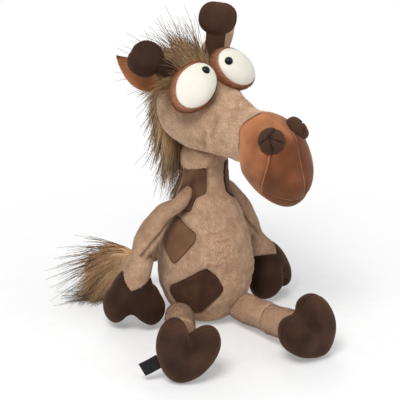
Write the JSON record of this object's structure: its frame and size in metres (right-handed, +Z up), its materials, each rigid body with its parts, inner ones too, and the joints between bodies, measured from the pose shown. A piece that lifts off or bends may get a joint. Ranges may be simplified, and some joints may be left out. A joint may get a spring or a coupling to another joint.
{
  "type": "plush giraffe",
  "caption": "Sitting plush giraffe with a drooping rust muzzle, bulging eyes, floppy horns, cloven hooves, dark spots, a furry crest and a tufted tail.",
  "frame": {"origin": "middle of the flat seat under the body, on the floor", "axes": "+Z up, -Y the way the body faces, +X the toy's own left"},
  "size_m": [0.272, 0.2905, 0.3726],
  "materials": {
    "tan_plush": "short mottled plush",
    "brown_velour": "smooth dark velour",
    "rust_velour": "smooth rust velour",
    "white_velour": "smooth off-white velour",
    "long_fur": "long faux fur with black tips",
    "fibre_filling": "polyester fibre",
    "pellet_pouch": "plastic pellets in a cloth pouch",
    "pupil_black": "glossy moulded button",
    "washer_nylon": "moulded lock washer",
    "label_black": "bare woven tab"
  },
  "bodies": {
    "torso": {"body_skin": "tan_plush", "body_filling": "fibre_filling", "pellet_bag": "pellet_pouch", "spot_neck_right": "brown_velour", "spot_neck_left": "brown_velour", "spot_side_right": "brown_velour", "spot_side_left": "brown_velour", "spot_belly": "brown_velour", "spot_back": "brown_velour", "neck_mane": "long_fur"},
    "neck": {"neck_roll": "tan_plush"},
    "head": {"head_skin": "tan_plush", "head_filling": "fibre_filling", "muzzle_skin": "rust_velour", "muzzle_filling": "fibre_filling", "nostril_right": "brown_velour", "nostril_left": "brown_velour", "eye_white_right": "white_velour", "eye_white_left": "white_velour", "eye_back_right": "rust_velour", "eye_back_left": "rust_velour", "eye_filling_right": "fibre_filling", "eye_filling_left": "fibre_filling", "pupil_right": "pupil_black", "pupil_left": "pupil_black", "pupil_washer_right": "washer_nylon", "pupil_washer_left": "washer_nylon", "crest_fur": "long_fur"},
    "right_horn": {"horn_right": "brown_velour"},
    "left_horn": {"horn_left": "brown_velour"},
    "right_ear": {"ear_back_right": "tan_plush", "ear_lining_right": "rust_velour"},
    "left_ear": {"ear_back_left": "tan_plush", "ear_lining_left": "rust_velour"},
    "right_arm": {"arm_right_skin": "tan_plush", "arm_right_filling": "fibre_filling", "arm_right_hoof": "brown_velour", "arm_right_hoof_filling": "fibre_filling"},
    "left_arm": {"arm_left_skin": "tan_plush", "arm_left_filling": "fibre_filling", "arm_left_hoof": "brown_velour", "arm_left_hoof_filling": "fibre_filling"},
    "right_leg": {"leg_right_skin": "tan_plush", "leg_right_filling": "fibre_filling", "leg_right_hoof": "brown_velour", "leg_right_hoof_filling": "fibre_filling", "side_label": "label_black"},
    "left_leg": {"leg_left_skin": "tan_plush", "leg_left_filling": "fibre_filling", "leg_left_hoof": "brown_velour", "leg_left_hoof_filling": "fibre_filling"},
    "tail": {"tail": "tan_plush", "tail_tuft": "long_fur"}
  },
  "joints": [
    {"name": "neck_turn", "type": "hinge", "parent": "torso", "child": "neck", "pos_m": [0, 0, 0.2003], "axis": [0, 0, 1], "range_deg": [-45, 45]},
    {"name": "head_nod", "type": "hinge", "parent": "neck", "child": "head", "pos_m": [0, 0, 0.2003], "axis": [0.9205, 0.3907, 0], "range_deg": [-20, 12]},
    {"name": "right_horn_flop", "type": "hinge", "parent": "head", "child": "right_horn", "pos_m": [-0.03782, -0.01021, 0.30072], "axis": [-0.371, -0.9257, -0.0739], "range_deg": [-45, 12]},
    {"name": "left_horn_flop", "type": "hinge", "parent": "head", "child": "left_horn", "pos_m": [0.01362, 0.01162, 0.3066], "axis": [-0.3907, 0.9205, 0], "range_deg": [-6, 55]},
    {"name": "right_ear_droop", "type": "hinge", "parent": "head", "child": "right_ear", "pos_m": [-0.04624, 0.02344, 0.27687], "axis": [-0.4189, -0.9047, -0.0777], "range_deg": [-20, 25]},
    {"name": "left_ear_droop", "type": "hinge", "parent": "head", "child": "left_ear", "pos_m": [-0.00006, 0.04304, 0.28214], "axis": [-0.2595, 0.9656, 0.0145], "range_deg": [-4, 25]},
    {"name": "right_shoulder_lift", "type": "hinge", "parent": "torso", "child": "right_arm", "pos_m": [-0.0384, -0.02042, 0.15402], "axis": [-0.4696, 0.8829, 0], "range_deg": [0, 95]},
    {"name": "left_shoulder_lift", "type": "hinge", "parent": "torso", "child": "left_arm", "pos_m": [0.04046, 0.02628, 0.14231], "axis": [0.5446, -0.8387, 0], "range_deg": [0, 95]},
    {"name": "right_hip_lift", "type": "hinge", "parent": "torso", "child": "right_leg", "pos_m": [-0.04742, -0.03705, 0.0209], "axis": [-0.9617, 0.2739, 0], "range_deg": [-60, 20]},
    {"name": "left_hip_lift", "type": "hinge", "parent": "torso", "child": "left_leg", "pos_m": [0.04742, -0.03705, 0.0209], "axis": [-0.9792, -0.203, 0], "range_deg": [-60, 20]},
    {"name": "tail_wag", "type": "hinge", "parent": "torso", "child": "tail", "pos_m": [0, 0.06175, 0.0513], "axis": [0, 0, 1], "range_deg": [-95, 0]}
  ]
}
